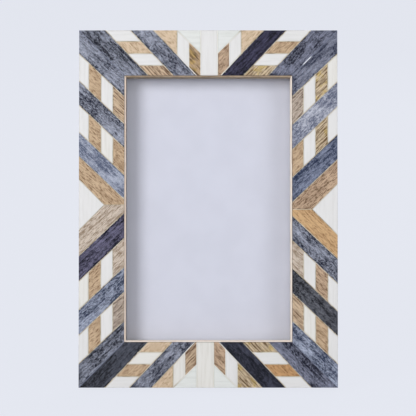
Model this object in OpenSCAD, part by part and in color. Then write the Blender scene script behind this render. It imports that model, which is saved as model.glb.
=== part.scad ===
// Bone inlay picture frame for a 4 by 6 inch photograph, standing on its easel leg.
// Four mitred wooden rails carry a skin of bone and wood tiles set in resin.
// Glass, card and boards sit in the rebate behind, held by turn buttons.
// X runs across the frame, +Z is up and the face looks along -Y. The lengths are in millimetres.
// Most pieces are drawn on the upright frame and then leaned back by stand().

/* [Frame] */
// Overall width of the frame
frame_w = 139; // [125:0.5:170]
// Overall height of the frame, measured along its face
frame_h = 192; // [172:0.5:225]
// Thickness of the frame from its face to its back
frame_t = 17; // [15:0.5:21]
// Width of the moulding, the same on all four sides
rail_w = 25.2; // [24:0.1:27]
// Width of the rebate that holds the glass and the boards
rebate_w = 7; // [5.5:0.1:8.5]
// Angle by which the standing frame leans back
lean = 13; // [10:0.5:16]

/* [Inlay] */
// Thickness of the bone and wood tiles
tile_t = 2; // [1.2:0.1:2.6]
// Resin left between a tile and the wooden rail
bed_t = 0.6; // [0.3:0.1:1.2]
// Width of the resin line between two tiles
joint_w = 0.35; // [0.2:0.05:0.8]
// Slant of the dyed strips, from square across the rail
slant = 43.5; // [40:0.5:46]
// Thickness of the light lipping round the opening
lip_w = 0.7; // [0.5:0.1:1.5]

/* [Side rail pattern] */
// Length at the outer edge of the dyed strip against the mitre
side_corner = 12.7; // [10:0.1:15]
// Length at the outer edge of a field of bars
side_field = 14.9; // [12:0.1:16]
// Length at the outer edge of a dyed strip
side_strip = 13.4; // [11:0.1:14.5]
// Width of the outermost bar
side_first_bar = 5.3; // [4:0.1:7]
// Width of each of the next bars
side_bar = 6.5; // [5:0.1:7.5]
// Half the length of the white arrowhead on the outer edge
arrow_half = 13.8; // [10:0.1:16]
// Depth of the white arrowhead's point
arrow_depth = 13.7; // [9:0.1:16]
// How far the left rail's arrowhead sits above the middle
left_shift = 2; // [-3:0.1:3]
// How far the right rail's arrowhead sits above the middle
right_shift = -0.4; // [-3:0.1:3]

/* [End rail pattern] */
// Length at the outer edge of the dyed strip against the mitre
end_corner = 14.2; // [11:0.1:15.5]
// Length at the outer edge of a field of bars
end_field = 13.3; // [11:0.1:14.5]
// Length at the outer edge of a dyed strip
end_strip = 12.4; // [10:0.1:13.5]
// Width of the outermost bar
end_first_bar = 6; // [4:0.1:7]
// Width of each of the next bars
end_bar = 6.5; // [5:0.05:7.5]
// Half the width of the white bar in the middle of the rail
middle_half = 4.55; // [3:0.05:5.5]
// Width of the upright bars beside the middle bar
upright_bar = 6.35; // [5:0.05:7]
// Depth of the white cap where it meets the middle bar
cap_depth = 12.3; // [9:0.1:15]
// How far the top rail's middle bar sits to the right
top_shift = 0.5; // [-3:0.1:3]
// How far the bottom rail's middle bar sits to the right
bottom_shift = -1.6; // [-3:0.1:3]

/* [Glass, card and boards] */
// Gap between the glass and boards and the rebate of each side rail
side_gap = 0.5; // [0.2:0.1:1]
// Gap between the glass and boards and the rebate of each end rail
end_gap = 1.6; // [0.7:0.1:2.5]
// Thickness of the glass
glass_t = 2; // [1.5:0.1:3]
// Thickness of the card sheet behind the glass
card_t = 0.4; // [0.2:0.1:0.8]
// Thickness of the filler board
filler_t = 1.5; // [0.8:0.1:2.2]
// Thickness of the back board
board_t = 3; // [2:0.1:4]
// How far the back board lies below the back of the rails
board_set = 0.3; // [0.2:0.05:1]

/* [Easel leg and hinge] */
// Gap between the ring's strap and the hinge's upper leaf
hinge_gap = 3; // [1:0.5:8]
// Angle between the open leg and the back board
leg_open = 25; // [20:0.5:28]
// Thickness of the leg
leg_t = 3; // [2:0.1:4]
// Width of the leg at its hinge
leg_top_w = 26; // [24:0.5:34]
// Width of the leg at its foot
leg_foot_w = 46; // [36:0.5:60]
// Corner cut at the top and the foot of the leg
leg_corner = 3; // [1:0.5:5]
// Gap between the folded leg and the back of the rails
leg_gap = 0.4; // [0.3:0.05:0.8]
// Width of the hinge
hinge_w = 24; // [22:0.5:26]
// Length of each leaf, from the pin
leaf_len = 13; // [12:0.5:16]
// Thickness of the hinge leaves
leaf_t = 0.9; // [0.6:0.05:1.1]
// Radius of the hinge pin
pin_r = 1; // [0.7:0.05:1.2]
// Wall of the knuckles round the pin
knuckle_wall = 1.15; // [0.8:0.05:1.4]
// Radius of the heads of the pin
pin_head_r = 1.6; // [1.3:0.05:2]
// Thickness of the heads of the pin
pin_head_t = 0.7; // [0.4:0.05:1]
// Gap between the knuckles and the plates of the leaves
leaf_gap = 0.6; // [0.3:0.05:1]
// Gap between the knuckles and the back board
knuckle_rise = 0.3; // [0.2:0.05:0.5]
// Gap at each side of the leg's knuckle
knuckle_gap = 0.25; // [0.15:0.05:0.4]
// Gap left between the stop tongue and the upper leaf at the open stop
stop_gap = 0.15; // [0.1:0.05:0.3]
// Running clearance between the pin and the leg's knuckle
pin_clear = 0.05; // [0.02:0.01:0.1]
// Width of the leg's knuckle and of its stop tongue
tongue_w = 9.5; // [7:0.1:10.5]
// Radius of the rivets that hold the leaves
rivet_r = 1.2; // [0.8:0.05:1.4]
// Radius of the rivet heads
rivet_head_r = 2.2; // [1.8:0.05:2.4]
// Height of the rivet heads
rivet_head_t = 0.9; // [0.5:0.05:1.2]
// Width of a rivet, screw or tack head at its top, as a share of its width at the base
head_taper = 0.6; // [0.4:0.05:0.8]
// Distance of each rivet from the middle of the hinge
rivet_x = 8.2; // [8:0.1:8.5]
// Distance of the rivets from the pin
rivet_z = 8.5; // [7.5:0.1:9]

/* [Turn buttons] */
// Length of a turn button
button_len = 21; // [16:0.5:23]
// Width of a turn button
button_w = 9; // [7.5:0.1:10]
// Thickness of a turn button
button_t = 1.2; // [0.8:0.05:1.6]
// Distance from the rebate's edge to the button's screw
screw_in = 8; // [6.5:0.1:9]
// Distance of a button's screw from the upper or the lower edge
button_drop = 45.5; // [39.5:0.5:55.5]
// Radius of the screw shanks
screw_r = 1.5; // [1:0.05:1.8]
// Length of the screws in the wood
screw_len = 9; // [6:0.5:11]
// Radius of the screw heads
screw_head_r = 3; // [2.4:0.05:3.5]
// Height of the screw heads
screw_head_t = 1.5; // [0.8:0.05:2]
// Free play under and over a turn button
button_play = 0.25; // [0.15:0.05:0.4]
// Running clearance between a button and its screw
button_clear = 0.1; // [0.05:0.01:0.1]

/* [Hanging ring] */
// Distance of the ring's pivot below the upper edge, along the face
ring_drop = 36; // [33:0.5:38]
// Radius of the ring's round end, at the middle of the wire
ring_r = 8.5; // [7:0.1:9]
// Length of the ring's straight sides
ring_side = 3; // [2:0.1:4]
// Radius of the ring's wire
wire_r = 0.8; // [0.6:0.05:1]
// Width of the strap that holds the ring
strap_w = 7; // [5:0.1:8]
// Length of the strap below the ring's pivot
strap_len = 17; // [15:0.5:17.5]
// Thickness of the strap
strap_t = 0.8; // [0.5:0.05:1]
// Height of the strap's curl above the back board
curl_rise = 0.25; // [0.1:0.05:0.5]
// Running clearance between the ring and its strap
ring_clear = 0.08; // [0.04:0.01:0.1]
// Distance from the ring's pivot to the tack
tack_z = 13.8; // [13.5:0.1:14]
// Radius of the tack's head
tack_head_r = 2; // [1.6:0.05:2.2]
// Height of the tack's head
tack_head_t = 0.7; // [0.4:0.05:1]
// Radius of the tack's shank
tack_r = 0.7; // [0.5:0.05:1]

/* [Corner nails] */
// Length of each wing of a corner nail
nail_wing = 3.5; // [2.5:0.1:4]
// Thickness of a corner nail
nail_t = 0.5; // [0.4:0.05:0.8]
// Depth of a corner nail in the rails
nail_depth = 6; // [4:0.5:7]
// Depth of each corner nail along the mitre, from the outer edge
nail_marks = [6.5, 13.5]; // [5:0.5:15]

/* [Hidden] */
$fn = 64;

// Colours of the materials
core_wood = [0.38, 0.27, 0.18];
resin_cream = [0.86, 0.82, 0.72];
white_bone = [0.91, 0.91, 0.88];
dyed_bone = [0.30, 0.33, 0.42];
tan_wood = [0.76, 0.62, 0.46];
lip_wood = [0.88, 0.80, 0.68];
board_brown = [0.20, 0.16, 0.14];
filler_grey = [0.62, 0.60, 0.56];
card_grey = [0.81, 0.82, 0.88];
glass_tint = [0.80, 0.88, 0.90, 0.35];
brass = [0.72, 0.58, 0.32];
steel = [0.62, 0.62, 0.64];

// Layers of the frame, as depths behind its face
skin_t = tile_t + bed_t;
board_back = frame_t - board_set;
board_front = board_back - board_t;
filler_front = board_front - filler_t;
card_front = filler_front - card_t;
glass_front = card_front - glass_t;
inlay_w = rail_w - lip_w;
rail_back_w = rail_w - rebate_w;
pane_w = frame_w - 2 * (rail_back_w + side_gap);
pane_h = frame_h - 2 * (rail_back_w + end_gap);
ring_z = frame_h - ring_drop;
hinge_z = ring_z - strap_len - hinge_gap - leaf_len;
bite = 0.01;

// Stands the upright frame on its lower back edge and leans it back, with the footprint centred
module stand() {
    translate([0, footprint_y, 0]) rotate([-lean, 0, 0]) translate([0, -frame_t, 0]) children();
}

// Extrudes a flat shape drawn across the face, from one depth behind the face for a thickness
module across_face(depth, thickness) {
    translate([0, depth + thickness, frame_h / 2]) rotate([90, 0, 0]) linear_extrude(thickness) children();
}

// Layout of the inlay. A rail is laid out in [s, d]: s along the rail from its middle,
// d inwards from its outer edge. Tiles are blanks cut along straight lines, as on the bench.
run = tan(slant);
bars = 4;
least_area = 1;
function is_end(rail) = rail == "top" || rail == "bottom";
function rail_len(rail) = is_end(rail) ? frame_w : frame_h;
function strips(rail) = is_end(rail) ? 1 : 2;
function shift(rail) = rail == "top" ? top_shift : rail == "bottom" ? bottom_shift
    : rail == "left" ? left_shift : right_shift;
function corner_len(rail) = is_end(rail) ? end_corner : side_corner;
function field_len(rail) = is_end(rail) ? end_field : side_field;
function strip_len(rail) = is_end(rail) ? end_strip : side_strip;

// Marks on the outer edge, from the middle: the corner strip's, then each strip's far and near side
function corner_mark(rail) = rail_len(rail) / 2 - corner_len(rail);
function far_mark(rail, k) = corner_mark(rail) - field_len(rail) - k * (field_len(rail) + strip_len(rail));
function near_mark(rail, k) = far_mark(rail, k) - strip_len(rail);
function field_mark(rail, k) = k == 0 ? corner_mark(rail) : near_mark(rail, k - 1);

// Depth of the outer side of bar i, the last one ending at the lipping
function bar_depth(rail, i) = i == 0 ? -joint_w / 2 : i == bars ? inlay_w
    : is_end(rail) ? end_first_bar + (i - 1) * end_bar : side_first_bar + (i - 1) * side_bar;

// A blank is a rectangle of tile stock; a cut keeps the side of a line where the point keep lies
function blank(s1, s2, d1, d2) = [[s1, d1], [s2, d1], [s2, d2], [s1, d2]];
function whole(rail, d1, d2) = blank(-rail_len(rail), rail_len(rail), d1, d2);
function cut(p, q, keep) = let(n = [q[1] - p[1], p[0] - q[0]]) [p, n * (keep - p) > 0 ? n : -n];
function clip(tile, line) = [
    for (i = [0 : 1 : len(tile) - 1])
        let(a = tile[i], b = tile[(i + 1) % len(tile)])
        let(da = (a - line[0]) * line[1], db = (b - line[0]) * line[1])
        each concat(da >= 0 ? [a] : [], da * db < 0 ? [a + (b - a) * da / (da - db)] : [])
];
function clip_all(tile, lines, i = 0) =
    i == len(lines) ? tile : clip_all(clip(tile, lines[i]), lines, i + 1);
function middle_of(tile) = [for (p = tile) 1] * tile / len(tile);
function area_of(tile) = abs([for (i = [0 : 1 : len(tile) - 1])
    let(a = tile[i], b = tile[(i + 1) % len(tile)]) a[0] * b[1] - b[0] * a[1]] * [for (p = tile) 1]) / 2;

// Draws every side of a tile inwards by half the joint
function inset(tile) = clip_all(tile, [
    for (i = [0 : 1 : len(tile) - 1])
        let(a = tile[i], b = tile[(i + 1) % len(tile)])
        if (norm(b - a) > bite)
            let(c = cut(a, b, middle_of(tile)), n = c[1] / norm(c[1])) [a + n * joint_w / 2, n]
]);

// Slanted line through a mark, on the half of the rail that side (-1 or 1) names.
// With out at 1 a cut keeps what lies beyond the line, with -1 what lies nearer the middle.
function slanted(rail, side, mark, out) =
    let(s = side * mark + shift(rail) * (1 - mark / corner_mark(rail)))
    cut([s, 0], [s - side * run, 1], [s + side * out, 0]);
// The half of the rail on one side of its middle line, or of its middle bar
function half_of(rail, side) = let(s = shift(rail) + (is_end(rail) ? side * middle_half : 0))
    cut([s, 0], [s, 1], [s + side, 0]);
function mitre(rail, side) = let(end = rail_len(rail) / 2)
    cut([side * end, 0], [side * (end - 1), 1], [0, 0]);

// Dyed strips: one against each mitre and one or two more on each half of the rail
function dyed_tiles(rail) = [for (side = [-1, 1]) each concat(
    [clip_all(whole(rail, bar_depth(rail, 0), inlay_w),
        [slanted(rail, side, corner_mark(rail), 1), mitre(rail, side), half_of(rail, side)])],
    [for (k = [0 : strips(rail) - 1]) clip_all(whole(rail, bar_depth(rail, 0), inlay_w),
        [slanted(rail, side, near_mark(rail, k), 1), slanted(rail, side, far_mark(rail, k), -1),
            half_of(rail, side)])]
)];

// Bars between the strips, white and wood in turn from the outer edge
function bar_tiles(rail, first) = [
    for (side = [-1, 1]) for (k = [0 : strips(rail) - 1]) for (i = [first, first + 2])
        clip_all(whole(rail, bar_depth(rail, i), bar_depth(rail, i + 1)),
            [slanted(rail, side, far_mark(rail, k), 1), slanted(rail, side, field_mark(rail, k), -1),
                half_of(rail, side)])
];

// Middle of a side rail: a white arrowhead between two wooden arms that meet on a level joint
function arrow_side(rail, side, out) = let(c = shift(rail))
    cut([c + side * arrow_half, 0], [c, arrow_depth], [c + 2 * side * out * arrow_half, 0]);
function arrowhead(rail) = clip_all(whole(rail, bar_depth(rail, 0), inlay_w),
    [for (side = [-1, 1]) arrow_side(rail, side, 0)]);
function arm_tiles(rail) = [for (side = [-1, 1]) clip_all(whole(rail, bar_depth(rail, 0), inlay_w),
    [half_of(rail, side), arrow_side(rail, side, 1), slanted(rail, side, near_mark(rail, 1), -1)])];

// Middle of an end rail: a white bar, white caps beside it and upright bars below them
function upright_mark(k) = middle_half + k * upright_bar;
function upright_blank(rail, side, k, wide) = let(c = shift(rail), s = c + side * upright_mark(k))
    blank(s, s + side * wide, bar_depth(rail, 0), inlay_w);
function cap_line(rail, side, out) = let(c = shift(rail))
    cut([c + side * upright_mark(2), 0], [c + side * middle_half, cap_depth],
        [c + side * out * upright_mark(3), 0]);
function middle_bar(rail) = blank(shift(rail) - middle_half, shift(rail) + middle_half,
    bar_depth(rail, 0), inlay_w);
function cap_tiles(rail) = [for (side = [-1, 1])
    clip(upright_blank(rail, side, 0, 2 * upright_bar), cap_line(rail, side, 0))];
function upright_tiles(rail, k) = [for (side = [-1, 1])
    clip_all(upright_blank(rail, side, k, k == 2 ? frame_w : upright_bar),
        [cap_line(rail, side, 1), slanted(rail, side, near_mark(rail, 0), -1)])];

// All tiles of one material on one rail, in [s, d]
function white_tiles(rail) = concat(bar_tiles(rail, 0),
    is_end(rail) ? concat([middle_bar(rail)], cap_tiles(rail), upright_tiles(rail, 1)) : [arrowhead(rail)]);
function wood_tiles(rail) = concat(bar_tiles(rail, 1),
    is_end(rail) ? concat(upright_tiles(rail, 0), upright_tiles(rail, 2)) : arm_tiles(rail));

// Turns a point of a rail's layout into one across the face, measured from the frame's middle
function on_face(rail, p) = rail == "top" ? [p[0], frame_h / 2 - p[1]]
    : rail == "bottom" ? [p[0], p[1] - frame_h / 2]
    : rail == "right" ? [frame_w / 2 - p[1], p[0]] : [p[1] - frame_w / 2, p[0]];

// Sets a list of tiles into the face, each drawn in by half a joint; slivers are left to the resin
module tiles(rail, list) {
    for (tile = list)
        if (len(tile) > 2 && area_of(tile) > least_area)
            let(cut_tile = inset(tile))
                if (len(cut_tile) > 2)
                    across_face(0, tile_t) polygon([for (p = cut_tile) on_face(rail, p)]);
}

// Trapezoid of a rail seen from the front, between two depths from the outer edge
module mitred(rail, d1, d2) {
    half = rail_len(rail) / 2;
    corners = [[d1 - half, d1], [half - d1, d1], [half - d2, d2], [d2 - half, d2]];
    polygon([for (p = corners) on_face(rail, p)]);
}

// Wooden rails
module rail_core(rail) {
    color(core_wood) stand() difference() {
        union() {
            across_face(skin_t, glass_front - skin_t) mitred(rail, 0, inlay_w);
            across_face(glass_front, frame_t - glass_front) mitred(rail, 0, rail_back_w);
        }
        nail_shapes();
        if (!is_end(rail)) screw_shanks();
    }
}
module rail_top() rail_core("top");
module rail_bottom() rail_core("bottom");
module rail_left() rail_core("left");
module rail_right() rail_core("right");

// Resin bed, cast round the tiles
module resin(rail) {
    color(resin_cream) stand() difference() {
        across_face(0, skin_t) mitred(rail, 0, inlay_w);
        tiles(rail, concat(dyed_tiles(rail), white_tiles(rail), wood_tiles(rail)));
    }
}
module resin_top() resin("top");
module resin_bottom() resin("bottom");
module resin_left() resin("left");
module resin_right() resin("right");

// Tiles of white bone, dyed bone and wood
module white_bone_top() color(white_bone) stand() tiles("top", white_tiles("top"));
module white_bone_bottom() color(white_bone) stand() tiles("bottom", white_tiles("bottom"));
module white_bone_left() color(white_bone) stand() tiles("left", white_tiles("left"));
module white_bone_right() color(white_bone) stand() tiles("right", white_tiles("right"));
module dyed_bone_top() color(dyed_bone) stand() tiles("top", dyed_tiles("top"));
module dyed_bone_bottom() color(dyed_bone) stand() tiles("bottom", dyed_tiles("bottom"));
module dyed_bone_left() color(dyed_bone) stand() tiles("left", dyed_tiles("left"));
module dyed_bone_right() color(dyed_bone) stand() tiles("right", dyed_tiles("right"));
module wood_inlay_top() color(tan_wood) stand() tiles("top", wood_tiles("top"));
module wood_inlay_bottom() color(tan_wood) stand() tiles("bottom", wood_tiles("bottom"));
module wood_inlay_left() color(tan_wood) stand() tiles("left", wood_tiles("left"));
module wood_inlay_right() color(tan_wood) stand() tiles("right", wood_tiles("right"));

// Lipping, four mitred strips from the face to the rebate
module lipping(rail) {
    color(lip_wood) stand() across_face(0, glass_front) mitred(rail, inlay_w, rail_w);
}
module lipping_top() lipping("top");
module lipping_bottom() lipping("bottom");
module lipping_left() lipping("left");
module lipping_right() lipping("right");

// Corner nails: angle plates driven across each mitre from the back, one wing in each rail
module nail_shapes() {
    wing = [[0, 0], [nail_wing, 0], [nail_wing, nail_t], [nail_t, nail_t]];
    outline = concat(wing, [[nail_t, nail_wing], [0, nail_wing]]);
    for (x = [-1, 1]) for (z = [-1, 1]) for (mark = nail_marks)
        across_face(frame_t - nail_depth, nail_depth)
            translate([x * (frame_w / 2 - mark), z * (frame_h / 2 - mark)])
                polygon([for (p = outline) [-x * p[0], -z * p[1]]]);
}
module corner_nails() color(steel) stand() nail_shapes();

// Glass, card and boards, stacked in the rebate
module sheet(front, thickness) {
    across_face(front, thickness) square([pane_w, pane_h], center = true);
}
module glass_pane() color(glass_tint) stand() sheet(glass_front, glass_t);
module insert_card() color(card_grey) stand() sheet(card_front, card_t);
module filler_board() color(filler_grey) stand() sheet(filler_front, filler_t);
module back_board() {
    color(board_brown) stand() difference() {
        sheet(board_front, board_t);
        at_hinge() upper_rivets(bite);
        at_ring() tack_shank(bite);
    }
}

// Hinge: the leg's pieces are drawn folded, round the pin, and then swung open
knuckle_r = pin_r + knuckle_wall;
pin_rise = knuckle_r + knuckle_rise;
leg_in = board_set + leg_gap - pin_rise;
leg_out = leg_in + leg_t;
stop_len = (leg_out * cos(leg_open) + pin_rise - leaf_t - stop_gap) / sin(leg_open);
leaf_start = knuckle_r + leaf_gap;

module at_hinge() { translate([0, board_back + pin_rise, hinge_z]) children(); }
module swung() { at_hinge() rotate([leg_open, 0, 0]) children(); }
module along_x(x1, x2, radius) {
    translate([min(x1, x2), 0, 0]) rotate([0, 90, 0]) cylinder(h = abs(x2 - x1), r = radius);
}
module block(x1, x2, y1, y2, z1, z2) {
    translate([min(x1, x2), y1, z1]) cube([abs(x2 - x1), y2 - y1, z2 - z1]);
}

// Upper leaf: a plate on the back board and two outer knuckles
module hinge_upper_leaf() {
    half = hinge_w / 2;
    slot = tongue_w / 2 + knuckle_gap;
    color(brass) stand() at_hinge() difference() {
        union() {
            block(-half, half, -pin_rise, leaf_t - pin_rise, leaf_start, leaf_len);
            for (x = [-1, 1]) {
                block(x * slot, x * half, -pin_rise, leaf_t - pin_rise, 0, leaf_start);
                along_x(x * slot, x * half, knuckle_r);
            }
        }
        along_x(-hinge_w, hinge_w, pin_r);
        upper_rivets(0);
    }
}

// Lower leaf: a plate on the leg, the middle knuckle and the tongue that stops the leg
module hinge_lower_leaf() {
    half = hinge_w / 2;
    color(brass) stand() swung() difference() {
        union() {
            block(-half, half, leg_out, leg_out + leaf_t, -leaf_len, -leaf_start);
            block(-tongue_w / 2, tongue_w / 2, leg_out, leg_out + leaf_t, -leaf_start, stop_len);
            along_x(-tongue_w / 2, tongue_w / 2, knuckle_r);
        }
        along_x(-hinge_w, hinge_w, pin_r + pin_clear);
        lower_rivets(0);
    }
}

// Pin with a head at each end
module hinge_pin() {
    half = hinge_w / 2;
    color(steel) stand() at_hinge() union() {
        along_x(-half - pin_head_t, half + pin_head_t, pin_r);
        for (x = [-1, 1]) along_x(x * half, x * (half + pin_head_t), pin_head_r);
    }
}

// Rivets, screws and tack: a round shank between two depths, and a low conical head on the outside
module shank(inner, outer, radius) {
    rotate([-90, 0, 0]) translate([0, 0, inner]) cylinder(h = outer - inner, r = radius);
}
module head(base, height, radius) {
    rotate([-90, 0, 0]) translate([0, 0, base]) cylinder(h = height, r1 = radius, r2 = radius * head_taper);
}
module upper_rivets(extra) {
    for (x = [-rivet_x, rivet_x]) translate([x, 0, rivet_z])
        shank(-pin_rise - board_t - extra, leaf_t - pin_rise, rivet_r);
}
module lower_rivets(extra) {
    for (x = [-rivet_x, rivet_x]) translate([x, 0, -rivet_z])
        shank(leg_in - extra, leg_out + leaf_t, rivet_r);
}
module hinge_upper_rivets() {
    color(steel) stand() at_hinge() {
        upper_rivets(0);
        for (x = [-rivet_x, rivet_x]) translate([x, 0, rivet_z])
            head(leaf_t - pin_rise, rivet_head_t, rivet_head_r);
    }
}
module hinge_lower_rivets() {
    color(steel) stand() swung() {
        lower_rivets(0);
        for (x = [-rivet_x, rivet_x]) translate([x, 0, -rivet_z])
            head(leg_out + leaf_t, rivet_head_t, rivet_head_r);
    }
}

// Where the open leg meets the table, worked out round the pin
leg_lean = leg_open - lean;
pin_y = (board_back + pin_rise - frame_t) * cos(lean) + hinge_z * sin(lean);
pin_z = hinge_z * cos(lean) - (board_back + pin_rise - frame_t) * sin(lean);
foot_len = (pin_z + leg_out * sin(leg_lean)) / cos(leg_lean);
foot_back = pin_y + leg_out * cos(leg_lean) + foot_len * sin(leg_lean);
footprint_y = (frame_t * cos(lean) - foot_back) / 2;

// Leg: a tapered board whose foot is cut level with the table
module easel_leg() {
    top = -leaf_start;
    low = -foot_len;
    slope = (leg_foot_w - leg_top_w) / 2 / (top - low);
    outline = [
        [leg_top_w / 2 - leg_corner, top], [leg_top_w / 2 + leg_corner * slope, top - leg_corner],
        [leg_foot_w / 2 - leg_corner * slope, low + leg_corner], [leg_foot_w / 2 - leg_corner, low]
    ];
    mirrored = [for (i = [len(outline) - 1 : -1 : 0]) [-outline[i][0], outline[i][1]]];
    color(board_brown) difference() {
        stand() swung() difference() {
            translate([0, leg_out, 0]) rotate([90, 0, 0]) linear_extrude(leg_t)
                polygon(concat(outline, mirrored));
            lower_rivets(bite);
        }
        translate([-leg_foot_w, 0, -frame_h]) cube([2 * leg_foot_w, frame_h, frame_h]);
    }
}

// Turn buttons: one screw each, on the side rails
screw_x = frame_w / 2 - rail_back_w + screw_in;
button_y = frame_t + button_play;
head_y = button_y + button_t + button_play;
button_z = frame_h / 2 - button_drop;
function button_spot(side, level) = [side * screw_x, 0, frame_h / 2 + level * button_z];

module turn_button(side, level) {
    reach = button_len - button_w;
    color(brass) stand() translate(button_spot(side, level)) translate([0, button_y + button_t, 0])
        rotate([90, 0, 0]) linear_extrude(button_t) difference() {
            union() {
                circle(r = button_w / 2);
                translate([-side * reach, 0]) circle(r = button_w / 2);
                translate([-side * reach / 2, 0]) square([reach, button_w], center = true);
            }
            circle(r = screw_r + button_clear);
        }
}
module turn_button_upper_left() turn_button(-1, 1);
module turn_button_upper_right() turn_button(1, 1);
module turn_button_lower_left() turn_button(-1, -1);
module turn_button_lower_right() turn_button(1, -1);

// Screws: a shank in the rail and a head over the button
module screw_shanks() {
    for (side = [-1, 1]) for (level = [-1, 1]) translate(button_spot(side, level))
        shank(frame_t - screw_len, head_y, screw_r);
}
module turn_button_screws() {
    color(steel) stand() {
        screw_shanks();
        for (side = [-1, 1]) for (level = [-1, 1]) translate(button_spot(side, level))
            head(head_y, screw_head_t, screw_head_r);
    }
}

// Hanging ring: it hangs straight down from the curl of its strap
curl_r = wire_r + ring_clear + strap_t;
ring_rise = curl_r + curl_rise;
module at_ring() { translate([0, board_back + ring_rise, ring_z]) children(); }

// Strap: a plate on the back board, curled over the ring's bar
module hanger_strap() {
    half = strap_w / 2;
    color(brass) stand() at_ring() difference() {
        union() {
            block(-half, half, -ring_rise, strap_t - ring_rise, -strap_len, 0);
            block(-half, half, -ring_rise, 0, -strap_t, curl_r);
            along_x(-half, half, curl_r);
        }
        along_x(-strap_w, strap_w, wire_r + ring_clear);
        tack_shank(0);
    }
}
module tack_shank(extra) {
    translate([0, 0, -tack_z]) shank(-ring_rise - board_t - extra, strap_t - ring_rise, tack_r);
}
module hanger_tack() {
    color(steel) stand() at_ring() {
        tack_shank(0);
        translate([0, 0, -tack_z]) head(strap_t - ring_rise, tack_head_t, tack_head_r);
    }
}

// Ring: a straight bar, two sides and a half circle of round wire
module hanger_ring() {
    color(brass) stand() at_ring() rotate([lean, 0, 0]) union() {
        along_x(-ring_r, ring_r, wire_r);
        for (x = [-ring_r, ring_r]) {
            translate([x, 0, 0]) sphere(r = wire_r);
            translate([x, 0, -ring_side]) cylinder(h = ring_side, r = wire_r);
        }
        translate([0, 0, -ring_side]) rotate([-90, 0, 0]) rotate_extrude(angle = 180)
            translate([ring_r, 0]) circle(r = wire_r);
    }
}

rail_top();
rail_bottom();
rail_left();
rail_right();
resin_top();
resin_bottom();
resin_left();
resin_right();
white_bone_top();
white_bone_bottom();
white_bone_left();
white_bone_right();
dyed_bone_top();
dyed_bone_bottom();
dyed_bone_left();
dyed_bone_right();
wood_inlay_top();
wood_inlay_bottom();
wood_inlay_left();
wood_inlay_right();
lipping_top();
lipping_bottom();
lipping_left();
lipping_right();
corner_nails();
glass_pane();
insert_card();
filler_board();
back_board();
easel_leg();
hinge_upper_leaf();
hinge_lower_leaf();
hinge_pin();
hinge_upper_rivets();
hinge_lower_rivets();
turn_button_upper_left();
turn_button_upper_right();
turn_button_lower_left();
turn_button_lower_right();
turn_button_screws();
hanger_strap();
hanger_tack();
hanger_ring();
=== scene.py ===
# %% [markdown]
# # A standing picture frame faced with bone and wood
#
# The object is a small table frame. Its face is a skin of ninety-two tiles, cut from white
# bone, from bone dyed in greys and blues, and from tan wood, and bedded in resin on four
# mitred rails. The packed CAD model gives every piece its size and place, so it is loaded
# first, and everything is made in its frame, in metres.

# %% Load the packed model
from collections import defaultdict
from functools import reduce
from itertools import count

import bmesh
import bpy
import numpy as np
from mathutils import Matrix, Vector


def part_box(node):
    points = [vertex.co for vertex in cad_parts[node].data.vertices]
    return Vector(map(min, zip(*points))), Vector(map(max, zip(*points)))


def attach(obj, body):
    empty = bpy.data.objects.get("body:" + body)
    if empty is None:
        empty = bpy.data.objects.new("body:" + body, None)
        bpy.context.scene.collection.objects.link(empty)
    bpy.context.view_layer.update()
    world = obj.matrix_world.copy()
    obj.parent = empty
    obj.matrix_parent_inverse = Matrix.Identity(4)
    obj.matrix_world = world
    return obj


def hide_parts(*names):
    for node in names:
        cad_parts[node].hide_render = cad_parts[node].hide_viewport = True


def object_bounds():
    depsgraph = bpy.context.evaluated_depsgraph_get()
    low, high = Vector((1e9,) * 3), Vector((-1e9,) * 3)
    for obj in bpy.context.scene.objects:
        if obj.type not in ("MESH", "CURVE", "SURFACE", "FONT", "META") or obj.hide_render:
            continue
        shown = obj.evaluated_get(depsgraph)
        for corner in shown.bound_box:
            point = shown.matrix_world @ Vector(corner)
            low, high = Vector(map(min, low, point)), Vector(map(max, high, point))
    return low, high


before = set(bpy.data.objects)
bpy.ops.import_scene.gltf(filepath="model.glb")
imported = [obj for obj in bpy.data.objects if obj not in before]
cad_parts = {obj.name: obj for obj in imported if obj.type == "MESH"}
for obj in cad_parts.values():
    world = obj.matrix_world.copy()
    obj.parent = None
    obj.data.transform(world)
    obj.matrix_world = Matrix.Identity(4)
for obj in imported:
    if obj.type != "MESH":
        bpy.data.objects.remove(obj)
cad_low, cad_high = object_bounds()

print("CAD box, mm:", [round(1000 * (high - low), 1) for low, high in zip(cad_low, cad_high)])

# %% [markdown]
# ## Two frames of measurement
#
# A frame maker measures the frame lying flat: across it, behind its face and up its face.
# The shapes are worked out there, in millimetres, and one function then leans them back onto
# the table. Turning points by a formula keeps every object at the origin and unturned, which
# the patterns on Object coordinates rely on.

# %% Sizes, and leaning the frame back
MM = 0.001
FRAME_W, FRAME_H, FRAME_T = 139.0, 192.0, 17.0
LEAN = np.radians(13)
SHIFT_Y = cad_low[1] / MM + FRAME_T * np.cos(LEAN)


def turn(points, angle):
    """Turns points round the X axis: y becomes y cos - z sin, and z becomes y sin + z cos."""
    x, y, z = np.moveaxis(np.asarray(points, float), -1, 0)
    cos, sin = np.cos(angle), np.sin(angle)
    return np.stack([x, y * cos - z * sin, y * sin + z * cos], axis=-1)


def stand(points):
    """Leans upright points back round the lower back edge, over the footprint, in metres."""
    return (turn(np.asarray(points, float) - [0, FRAME_T, 0], -LEAN) + [0, SHIFT_Y, 0]) * MM


face_middle = stand([0, 0, FRAME_H / 2])
print("middle of the face, mm:", np.round(face_middle / MM, 2))

# %% [markdown]
# ## Closed shells from rings
#
# Nearly every piece is a stack of closed rings: a tile's outline drawn in step by step, a
# rivet's circles, a rail's section at each station. One function joins the rings with
# triangles and closes both ends with fans, and another keeps every shell facing outwards.

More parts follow.
